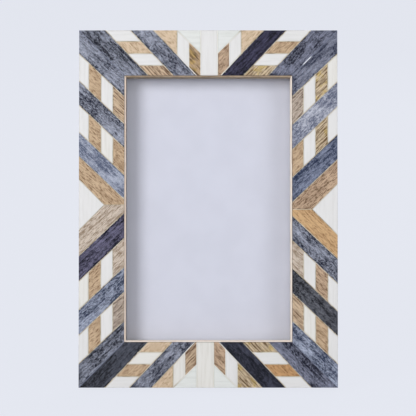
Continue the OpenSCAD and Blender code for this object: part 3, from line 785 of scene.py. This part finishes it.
path = rounded(blank(-RING_R, RING_R, -RING_SIDE - RING_R, 0), RING_BENDS, 17)
points, faces, grain = tube(resample(path, np.ceil(lengths_of(path)).astype(int)), WIRE_R)
ring_shell = shell(stand(turn(points, LEAN) + ring_place), faces, grain)
piece("wire_ring", [ring_shell], "brass", "hanger_ring", "ring")

tack = spun(-RING_RISE - BOARD_T, STRAP_T - RING_RISE, TACK_R, TACK_HEAD_R, TACK_HEAD_T)
piece("strap_tack", [fastener(tack, 0, -TACK_DROP, origin=ring_place)], "steel", "hanger_tack")

# %% [markdown]
# ## Corner nails
#
# Angle plates are pressed across every mitre from the back. Only their upper edges show, a
# hair proud of the wood, as two small chevrons on each corner.

# %% Angle plates
NAIL_WING, NAIL_T, NAIL_DEPTH, NAIL_PROUD = 3.5, 0.5, 6.0, 0.05
NAIL_MARKS = (6.5, 13.5)
angle_plate = np.array([[0, 0], [NAIL_WING, 0], [NAIL_WING, NAIL_T], [NAIL_T, NAIL_T],
                        [NAIL_T, NAIL_WING], [0, NAIL_WING]])
nails = []
for way in np.array([(x, z) for x in HALVES for z in HALVES]):
    for mark in NAIL_MARKS:
        corner = way * (np.array([FRAME_W, FRAME_H]) / 2 - mark)
        points, faces = slab(corner - angle_plate * way, FRAME_T - NAIL_DEPTH,
                             FRAME_T + NAIL_PROUD, 0.04, middle=corner - way * NAIL_T / 2)
        nails.append(shell(stand(upright(points)), faces, points[:, :2] * MM))
piece("angle_plates", nails, "steel", "corner_nails", smooth=20)

# %% [markdown]
# ## Hinge leaves, pin and strap
#
# These small fittings are right as the CAD has them, with real bores and knuckles, but a
# stamped part has no sharp edges. A merged copy of the solid gets a narrow bevel on every
# edge that turns by more than forty degrees, which leaves the round faces as they are.

# %% Eased copies of the fittings
def eased(node, name, slot, width, body="frame"):
    """A merged copy of a CAD piece with its sharp edges bevelled."""
    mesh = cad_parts[node].data.copy()
    work = bmesh.new()
    work.from_mesh(mesh)
    bmesh.ops.remove_doubles(work, verts=work.verts, dist=0.001 * MM)
    bmesh.ops.dissolve_limit(work, angle_limit=np.radians(0.5), verts=work.verts, edges=work.edges)
    work.to_mesh(mesh)
    work.free()
    mesh.name = name
    bevel = dress(name, mesh, slot, node, body, 30).modifiers.new("eased edges", "BEVEL")
    bevel.width, bevel.segments, bevel.limit_method = width * MM, 2, "ANGLE"
    bevel.angle_limit = np.radians(40)


eased("hinge_upper_leaf", "leaf_upper", "brass", 0.12)
eased("hinge_lower_leaf", "leaf_lower", "brass", 0.12, "leg")
eased("hanger_strap", "curled_strap", "brass", 0.1)
eased("hinge_pin", "headed_pin", "steel", 0.12)

# %% [markdown]
# ## Building materials in code
#
# A material is a tree of nodes. The class Tree adds a node and fills its inputs: another
# node's output is linked, a screen colour becomes linear light, and anything else is set on
# the socket. Outputs are wrapped as flows, so that sums and products of masks are written as
# such. Effects that finishes share are node groups, which put out only masks and values.

# %% Sums and products of outputs
class Flow:
    """A value on its way through a tree: + - * and abs() of flows add Math nodes."""

    def __init__(self, tree, socket):
        self.tree, self.socket = tree, socket

    def __add__(self, other):
        return self.tree.math("ADD", self, other)

    def __sub__(self, other):
        return self.tree.math("SUBTRACT", self, other)

    def __mul__(self, other):
        return self.tree.math("MULTIPLY", self, other)

    def __abs__(self):
        return self.tree.math("ABSOLUTE", self)


print("flows take + - * and abs()")

# %% A helper for node trees
class Tree:
    """Adds nodes to one tree; every method gives back the new node's output as a flow."""

    def __init__(self, tree):
        self.tree = tree

    def add(self, kind, out=0, setup=None, **inputs):
        node = self.tree.nodes.new("ShaderNode" + kind)
        for name, value in (setup or {}).items():
            setattr(node, name, value)
        for name, value in inputs.items():
            socket = node.inputs[int(name[1:]) if name[0] == "_" else name.replace("_", " ")]
            if isinstance(value, Flow):
                self.tree.links.new(value.socket, socket)
            else:
                socket.default_value = tint(value) if isinstance(value, str) else value
        return Flow(self, node.outputs[out])

    def math(self, operation, a, b=0.0):
        return self.add("Math", setup={"operation": operation}, _0=a, _1=b)

    def clamp(self, value):
        return self.add("Clamp", Value=value)

    def noise(self, vector, scale, detail=3.0, roughness=0.55, distortion=0.0, along=1.0):
        """Noise that is drawn out along the grain where along is less than 1."""
        if along != 1.0:
            vector = self.add("VectorMath", setup={"operation": "MULTIPLY"}, _0=vector,
                              _1=(along, 1.0, 1.0))
        return self.add("TexNoise", Vector=vector, Scale=scale, Detail=detail,
                        Roughness=roughness, Distortion=distortion)

    def span(self, value, low, high, to_low=0.0, to_high=1.0):
        return self.add("MapRange", setup={"interpolation_type": "SMOOTHSTEP"}, Value=value,
                        From_Min=low, From_Max=high, To_Min=to_low, To_Max=to_high)

    def mix(self, share, a, b, blend="MIX"):
        return self.add("Mix", 2, {"data_type": "RGBA", "blend_type": blend},
                        _0=share, _6=a, _7=b)

    def attribute(self, name, out="Fac"):
        return self.add("Attribute", out, {"attribute_name": name})

    def grain(self):
        return self.add("UVMap", setup={"uv_map": "grain"})

    def place(self):
        return self.add("TexCoord", "Object")

    def use(self, group, vector, *outs, **values):
        """Places a group and gives back the wanted outputs, or the only one."""
        node = self.add("Group", setup={"node_tree": group}, Vector=vector, **values).socket.node
        flows = [Flow(self, node.outputs[out]) for out in outs]
        return flows if len(flows) > 1 else flows[0]

    def any_ray(self, *kinds):
        """1 for a ray of any of the kinds, such as Is Camera Ray."""
        rays = [self.add("LightPath", kind) for kind in kinds]
        return reduce(lambda a, b: self.math("MAXIMUM", a, b), rays)

    def surface(self, color, rough, height, depth_mm, **more):
        """A Principled surface with a relief as deep as depth_mm where height goes from 0 to 1."""
        relief = self.add("Bump", Height=height, Distance=depth_mm * MM, Strength=1.0)
        return self.add("BsdfPrincipled", Base_Color=color, Roughness=rough, Normal=relief, **more)


print("a tree's methods:", *(name for name in vars(Tree) if name[0] != "_"))

# %% Groups and materials
def group(name, build, inputs, outputs):
    """A node group whose inputs and outputs are numbers, apart from an input named Vector."""
    tree = bpy.data.node_groups.new(name, "ShaderNodeTree")
    for way, labels in (("INPUT", inputs), ("OUTPUT", outputs)):
        for label in labels.split():
            kind = "NodeSocketVector" if label == "Vector" else "NodeSocketFloat"
            tree.interface.new_socket(label, in_out=way, socket_type=kind)
    t, given = Tree(tree), tree.nodes.new("NodeGroupInput").outputs
    made = build(t, *(Flow(t, given[label]) for label in inputs.split()))
    for flow, socket in zip(made, tree.nodes.new("NodeGroupOutput").inputs):
        tree.links.new(flow.socket, socket)
    print(f"group {name}: {len(tree.nodes)} nodes")
    return tree


def grow(owner, build, kind):
    """Gives a material or a world the tree whose surface is what build returns."""
    owner.use_nodes = True
    tree = owner.node_tree
    tree.nodes.clear()
    surface = build(Tree(tree))
    end = tree.nodes.new("ShaderNodeOutput" + kind)
    tree.links.new(surface.socket, end.inputs["Surface"])
    return owner


def material(name, build, pieces):
    made = grow(bpy.data.materials.new(name), build, "Material")
    for obj in pieces:
        if not obj.material_slots:
            obj.data.materials.append(None)
        obj.material_slots[0].material = made
    print(f"material {name}: {len(made.node_tree.nodes)} nodes on {len(pieces)} pieces")


print("pieces that wait for a material:", sum(len(made) for made in by_slot.values()))

# %% [markdown]
# ## Shared effects
#
# Mottle is what dye does in bone: slow patches, soft clouds, a tangle of fine pale threads
# where the bone was dense, and short dark flecks along the fibre. Grain is what a saw lays
# bare in wood: long lines, a slow change of tone, and open pores. Handling is what fingers
# leave: duller patches and hair scratches. Mitre says where a point lies on the upright frame
# and how far from the mitres, and marks a pale line along one of them, which crosses tiles
# and resin alike. All are scaled in metres, so each keeps its true size on any piece.

# %% Mottle, grain and handling
def build_mottle(t, vector):
    patch = t.span(t.noise(vector, 130.0, 1.5, 0.5, 0.4, along=0.5), 0.34, 0.66)
    cloud = t.span(t.noise(vector, 620.0, 6.0, 0.88, 0.5, along=0.45), 0.34, 0.66)
    curl = t.noise(vector, 760.0, 1.5, 0.6, 2.0, along=0.7)
    thread = t.span(abs(curl - 0.5), 0.0, 0.04, 1.0, 0.0)
    dash = t.span(t.noise(vector, 1500.0, 3.0, 0.8, 0.5, along=0.45), 0.40, 0.70)
    return cloud, thread, dash * t.span(patch, 0.1, 0.9, 1.0, 0.5), patch


def build_grain(t, vector, scale):
    lines = t.span(t.noise(vector, scale, 2.5, 0.65, 0.3, along=0.07), 0.42, 0.66)
    tone = t.span(t.noise(vector, 260.0, 2.0, along=0.25), 0.3, 0.7)
    pore = t.span(t.noise(vector, 1500.0, 3.0, 0.75, 0.4, along=0.22), 0.46, 0.66)
    return lines, tone, pore


def build_handling(t, vector):
    smudge = t.span(t.noise(vector, 90.0, 3.0, 0.6, 0.4), 0.35, 0.7)
    return smudge, t.span(t.noise(vector, 3000.0, 1.0, along=0.04), 0.66, 0.74)


mottle = group("mottle", build_mottle, "Vector", "Cloud Thread Fleck Patch")
grain_lines = group("grain", build_grain, "Vector Scale", "Lines Tone Pore")
handling = group("handling", build_handling, "Vector", "Smudge Scratch")

# %% Mitres, and the pale line along one
PALE_LINE_AT, PALE_LINE_TINT = 132.9, "#DDE0E6"
PALE_LINE_HALF_W, PALE_LINE_HALF_LEN = (0.25 * MM, 0.5 * MM), (3.0 * MM, 5.5 * MM)


def build_mitre(t, vector):
    """The place on the upright frame, from the middle of its outside, across and up; how far
    across - up is from its value on the mitres; and a pale line along one mitre, where
    across + up is near the line's middle."""
    behind = FRAME_T - SHIFT_Y * np.cos(LEAN)
    down = -SHIFT_Y * np.sin(LEAN) - FRAME_H / 2
    flat = t.add("Mapping", Vector=vector, Location=(0, behind * MM, down * MM),
                 Rotation=(LEAN, 0, 0))
    x, z = (t.add("SeparateXYZ", i, _0=flat) for i in (0, 2))
    across, up = abs(x), abs(z)
    off = abs(across - up + (FRAME_H - FRAME_W) / 2 * MM)
    along = abs(x + z - PALE_LINE_AT * MM)
    # The last output is a pale line along one mitre, over tiles and resin.
    scratch = t.span(off, *PALE_LINE_HALF_W, 1.0, 0.0) * t.span(along, *PALE_LINE_HALF_LEN, 1.0, 0.0)
    return across, up, off, scratch


mitres = group("mitre", build_mitre, "Vector", "Across Up Off Scratch")

# %% [markdown]
# ## Bone
#
# White bone is close-grained and polished, so it is nearly white with faint fibres and a
# soft, slightly waxy gloss. Dyed bone has the same polish over a strong mottle. Both darken a
# little towards the edge, which on the white bone is painted shade along the joints, and the
# saw chips the brittle dyed bone: a chip reaches in from the edge as far as a noise says, and
# is filled with resin.

# %% White and dyed bone
LINE_MEAN, MOTTLE_MEAN, MIDDLING = 0.4, 0.37, 0.38
CHIP_DEPTH, FULL_CHIP = 0.5, 0.08


def white_bone(t):
    vector = t.grain()
    cloud = t.use(mottle, vector, "Cloud")
    fibre = t.use(grain_lines, vector, "Lines", Scale=700.0)
    # Painted shade along the joints: the white bone darkens towards its edges.
    rim = t.span(t.attribute("edge"), 0.0, CHIP_RIM, 0.6, 0.0)
    share = fibre * (cloud * 0.6 + 0.4) * t.attribute("figure") + rim
    color = t.mix(t.clamp(share), t.attribute("light", "Color"), t.attribute("dark", "Color"))
    rough = t.span(t.use(handling, vector, "Smudge"), 0, 1, 0.34, 0.46)
    return t.surface(color, rough, fibre, 0.006, Specular_IOR_Level=0.35)


def dyed_bone(t):
    """The mottle swings about its own mean, times the figure, round a middling tint."""
    vector, edge = t.grain(), t.attribute("edge")
    cloud, thread, fleck, patch = t.use(mottle, vector, "Cloud", "Thread", "Fleck", "Patch")
    line = t.use(grain_lines, vector, "Lines", Scale=1000.0)
    blend = cloud * 0.62 + patch * 0.29 + thread * 0.32 - fleck * 0.75
    blend = blend - (line - LINE_MEAN) * t.attribute("streak")
    share = (blend - MOTTLE_MEAN) * t.attribute("figure") + MIDDLING
    share = share - t.span(edge, 0.0, CHIP_RIM, 0.14, 0.0)
    color = t.mix(t.clamp(share), t.attribute("dark", "Color"), t.attribute("light", "Color"))
    reach = t.span(t.noise(vector, 900.0, 3.0, 0.7), 0.54, 0.7) * CHIP_DEPTH
    chip = t.span(reach - edge, 0.0, FULL_CHIP)
    color = t.mix(chip, color, "#C6BFB0")
    # The pale line along one mitre crosses the dyed tiles too.
    color = t.mix(t.use(mitres, t.place(), "Scratch"), color, PALE_LINE_TINT)
    rough = t.span(t.use(handling, vector, "Smudge"), 0, 1, 0.38, 0.52)
    return t.surface(color, rough, thread - fleck, 0.012, Specular_IOR_Level=0.15)


material("white bone, polished", white_bone, by_slot["white_bone"])
material("bone, dyed and polished", dyed_bone, by_slot["dyed_bone"])

# %% [markdown]
# ## Woods
#
# The inlay wood, the lipping and the rails share one build. The rails' tints are plain
# colours, while the tiles and strips bring their own. Pores at a sawn edge fill with dark
# dust. The stock with the strongest streaks is the most open, and it alone has drunk some
# glue, which leaves yellow stains.

# %% Inlay wood, lipping and rails
# The second pair is the depth range, in mm, over which the lip wall darkens as painted shade.
PORE_MEAN, WALL_SHADE_DEPTH, DUST_W, OPEN_STREAK = 0.16, (3.5, 6.0), (0.05, 0.4), (0.92, 0.95)


def wood(scale, rough, light=None, dark=None, wall_shade=None):
    def build(t):
        vector = t.grain()
        line, tone, pore = t.use(grain_lines, vector, "Lines", "Tone", "Pore", Scale=scale)
        figure, streak, edge = (t.attribute(name) for name in ("figure", "streak", "edge"))
        share = line * streak + tone * (figure * 0.4) + (pore - PORE_MEAN) * figure
        share = share + t.span(edge, *DUST_W, 1.0, 0.0) * pore * 0.6
        color = t.mix(t.clamp(share), light or t.attribute("light", "Color"),
                      dark or t.attribute("dark", "Color"))
        glue = t.span(t.noise(vector, 190.0, 2.0), 0.5, 0.6)
        open_stock = t.span(streak, *OPEN_STREAK, 0.0, 0.65)
        color = t.mix(glue * open_stock, color, "#FBF3A8", "MULTIPLY")
        # Painted shade: the wall darkens with depth, as shade in the recess.
        if wall_shade:
            color = t.mix(t.span(edge, *WALL_SHADE_DEPTH), color, wall_shade)
        return t.surface(color, t.span(tone, 0, 1, rough, rough + 0.1), line * -0.4 - pore, 0.03,
                         Specular_IOR_Level=0.3)
    return build


material("inlay wood, sanded", wood(1250.0, 0.42), by_slot["inlay_wood"])
# 76675A is the painted shade on the left lip's inner wall.
material("lipping wood", wood(1400.0, 0.5, wall_shade="#76675A"), by_slot["lipping"])
material("rail wood, stained", wood(700.0, 0.4, "#7A5A3E", "#2E1E12"), by_slot["core_wood"])

# %% [markdown]
# ## Resin
#
# The resin is tinted cream. It has stayed clean in the middle of the end rails, and is dull
# and dirty further out, where most of the sawn joints are. Along the mitres the worker rubs
# in dark filler, so the joint between two dyed tiles can't be seen. Beside the lip a dark band
# is painted as the shade in the gap there.

# %% Resin in the joints
CLEAN_TO, DULL_FROM = 14 * MM, 18 * MM
FILLER_HALF_W, LIP_SHADE_W = (0.5 * MM, 0.9 * MM), (0.2 * MM, 0.4 * MM)


def resin(t):
    place = t.place()
    across, up, off, scratch = t.use(mitres, place, "Across", "Up", "Off", "Scratch")
    tone = t.span(t.noise(place, 160.0), 0.35, 0.65)
    dirt = t.span(t.noise(place, 300.0), 0.48, 0.64)
    dulled = t.mix(dirt * 0.8, t.mix(tone, "#CEC5B1", "#B4A78E"), "#857758")
    color = t.mix(t.span(across, CLEAN_TO, DULL_FROM), t.mix(tone, "#E8E7E0", "#DDDACF"), dulled)
    color = t.mix(t.span(off, *FILLER_HALF_W, 1.0, 0.0), color, "#6A7084")
    # The pale line along one mitre, in the resin.
    color = t.mix(scratch, color, PALE_LINE_TINT)
    # Painted shade: a dark band in the resin just beyond the inlay, beside the lip.
    beyond = t.math("MAXIMUM", across - (FRAME_W / 2 - INLAY_W) * MM,
                    up - (FRAME_H / 2 - INLAY_W) * MM)
    color = t.mix(t.span(beyond, *LIP_SHADE_W, 0.9, 0.0), color, "#4A3A2E")
    return t.surface(color, t.span(tone, 0, 1, 0.3, 0.45), t.noise(place, 2500.0, 1.0), 0.01)


material("cream resin", resin, [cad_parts[f"resin_{rail}"] for rail in RAILS])

# %% [markdown]
# ## Glass and card
#
# Glass is a Principled surface with full transmission. A renderer lights what lies behind a
# pane only by chance, so for shadow rays and for light scattered by the card the pane is a
# clear surface instead, which lets the lamps and the room reach the card, once each. The card
# is a smooth, cool grey paper with a faint tooth.

# %% Glass, card and filler
def clear_glass(t):
    smudge = t.use(handling, t.grain(), "Smudge")
    pane = t.add("BsdfPrincipled", Base_Color=(0.98, 0.99, 0.985, 1.0), IOR=1.5,
                 Roughness=t.span(smudge, 0, 1, 0.0, 0.03), Transmission_Weight=1.0)
    clear = t.add("BsdfTransparent", Color=(0.96, 0.965, 0.965, 1.0))
    return t.add("MixShader", _0=t.any_ray("Is Shadow Ray", "Is Diffuse Ray"), _1=pane, _2=clear)


def card_paper(t):
    vector = t.grain()
    tone = t.span(t.noise(vector, 60.0), 0.35, 0.65)
    return t.surface(t.mix(tone, "#D7D7E4", "#D3D3E0"), 0.75, t.noise(vector, 2400.0, 2.0), 0.01)


def filler_card(t):
    fibre = t.noise(t.grain(), 1500.0, along=0.4)
    return t.surface(t.mix(fibre, "#B4AD9F", "#8C8478"), 0.9, fibre, 0.03)


material("window glass", clear_glass, by_slot["glass"])
material("insert card", card_paper, by_slot["card"])
material("grey filler board", filler_card, by_slot["filler"])

# %% [markdown]
# ## Boards at the back
#
# The back board and the leg are hardboard, painted a soft black-brown. The rolled paint has
# the fine pebble of the roller, thins over fibres that stand up, and shines where hands have
# rubbed it.

# %% Painted hardboard
def painted_board(t):
    vector = t.grain()
    pebble = t.noise(vector, 1100.0, 2.0, 0.5)
    fibre = t.span(t.noise(vector, 900.0, 3.0, 0.65, along=0.15), 0.55, 0.75)
    smudge, scratch = t.use(handling, vector, "Smudge", "Scratch")
    color = t.mix(fibre * 0.5, "#322A27", "#5B4B40")
    color = t.mix(scratch * 0.3, color, "#7A6A5A")
    return t.surface(color, t.span(smudge, 0, 1, 0.68, 0.58), pebble + fibre, 0.05,
                     Specular_IOR_Level=0.35)


material("painted hardboard", painted_board, by_slot["board"])

# %% [markdown]
# ## Metals
#
# The fittings are thin brass gone a little brown, brighter where they rub, and nickel-plated
# steel. Both get the handling marks as changes of roughness, and the tarnish is a slow noise
# that darkens and dulls the metal together.

# %% Brass and steel
def metal(bright, dull, rough_low, rough_high):
    def build(t):
        place = t.place()
        tarnish = t.span(t.noise(place, 210.0, 6.0, 0.72, 0.3), 0.3, 0.78)
        spot = t.span(t.noise(place, 1300.0, 2.0, 0.6), 0.63, 0.72)
        smudge, scratch = t.use(handling, place, "Smudge", "Scratch")
        color = t.mix(spot * 0.45, t.mix(tarnish, bright, dull), t.mix(0.5, dull, "#000000"))
        rough = t.span(tarnish, 0, 1, rough_low, rough_high) + smudge * 0.08
        return t.surface(color, rough, scratch * 0.5 - spot, 0.008, Metallic=1.0)
    return build


material("brass, tarnished", metal("#D6B36C", "#A98448", 0.24, 0.42), by_slot["brass"])
material("steel, nickel plated", metal("#D2D1CE", "#A3A19E", 0.2, 0.36), by_slot["steel"])

# %% [markdown]
# ## Floor and background
#
# The frame stands on a wide pale sheet. For rays from the camera, and for what metal and
# glass mirror, most of the floor's light is its own even colour, so no horizon shows; the
# rest is an ordinary matt surface that keeps the frame's soft shadow.

# %% The sheet and the world
BACKDROP, AMBIENT = "#E5E8F1", (0.2, 0.2, 0.21, 1.0)
FLOOR_R, OWN_LIGHT = 6.0, 0.97
angles = around(96)
rim = np.stack([np.cos(angles), np.sin(angles), 0 * angles], axis=1) * FLOOR_R
floor_mesh = bpy.data.meshes.new("table_sheet")
floor_mesh.from_pydata(rim.tolist(), [], [list(range(len(rim)))])
floor = put("table_sheet", floor_mesh)


def seen_directly(t):
    return t.any_ray("Is Camera Ray", "Is Glossy Ray", "Is Transmission Ray")


def paper_sheet(t):
    matt = t.add("BsdfPrincipled", Base_Color=BACKDROP, Roughness=0.9, Specular_IOR_Level=0.0)
    own = t.add("Emission", Color=BACKDROP, Strength=1.0)
    return t.add("MixShader", _0=seen_directly(t) * OWN_LIGHT, _1=matt, _2=own)


def studio(t):
    return t.add("Background", Color=t.mix(seen_directly(t), AMBIENT, BACKDROP), Strength=1.0)


material("pale sheet", paper_sheet, [floor])
bpy.context.scene.world = grow(bpy.data.worlds.new("studio"), studio, "World")

# %% [markdown]
# ## Lamps
#
# One large soft lamp stands in front on the left, and throws the soft shadow of the left lip
# across the card. A weaker one on the right opens the shadows. A third, smaller one stands
# high on the right, and gives the card a narrow shadow along its upper and right edges. A
# fourth lights the back. Their power is set so that a colour renders about as written.

# %% Four lamps
def aim(obj, place, target):
    obj.location = place
    obj.rotation_euler = Vector(target - place).to_track_quat("-Z", "Y").to_euler()


def lamp(name, azimuth, elevation, distance, size, power):
    """A round area lamp aimed at the middle of the face; azimuth is to the camera's right."""
    a, e = np.radians(azimuth), np.radians(elevation)
    way = np.array([np.sin(a) * np.cos(e), -np.cos(a) * np.cos(e), np.sin(e)])
    data = bpy.data.lights.new(name, "AREA")
    data.shape, data.size, data.energy = "DISK", size, power
    aim(put(name, data), face_middle + way * distance, face_middle)
    print(f"lamp {name}: {power} W from {distance} m")


lamp("key", -40, 26, 1.3, 0.6, 10.4)
lamp("right", 54, 18, 1.3, 0.55, 4.0)
lamp("high", 42, 38, 1.4, 0.2, 1.6)
lamp("behind", 155, 32, 1.3, 0.6, 7.0)

# %% [markdown]
# ## Camera
#
# The photograph looks almost square at the leaning face, from a little above its normal: the
# top of the frame is narrower than the bottom by less than one part in a hundred. A long lens
# from a metre away gives that, aimed at the middle of the face.

# %% Camera
CAMERA_UP, DISTANCE = np.radians(11.4), 1.05
SENSOR, LENS = 36.0, 169.2
AIM = face_middle + np.array([-0.13, 0, 0.32]) * MM
camera_data = bpy.data.cameras.new("camera")
camera_data.sensor_width, camera_data.lens = SENSOR, LENS
camera = put("camera", camera_data)
aim(camera, AIM + DISTANCE * np.array([0, -np.cos(CAMERA_UP), np.sin(CAMERA_UP)]), AIM)
bpy.context.scene.camera = camera
bpy.context.scene.view_settings.view_transform = "Standard"
print("camera at, m:", [round(c, 3) for c in camera.location])
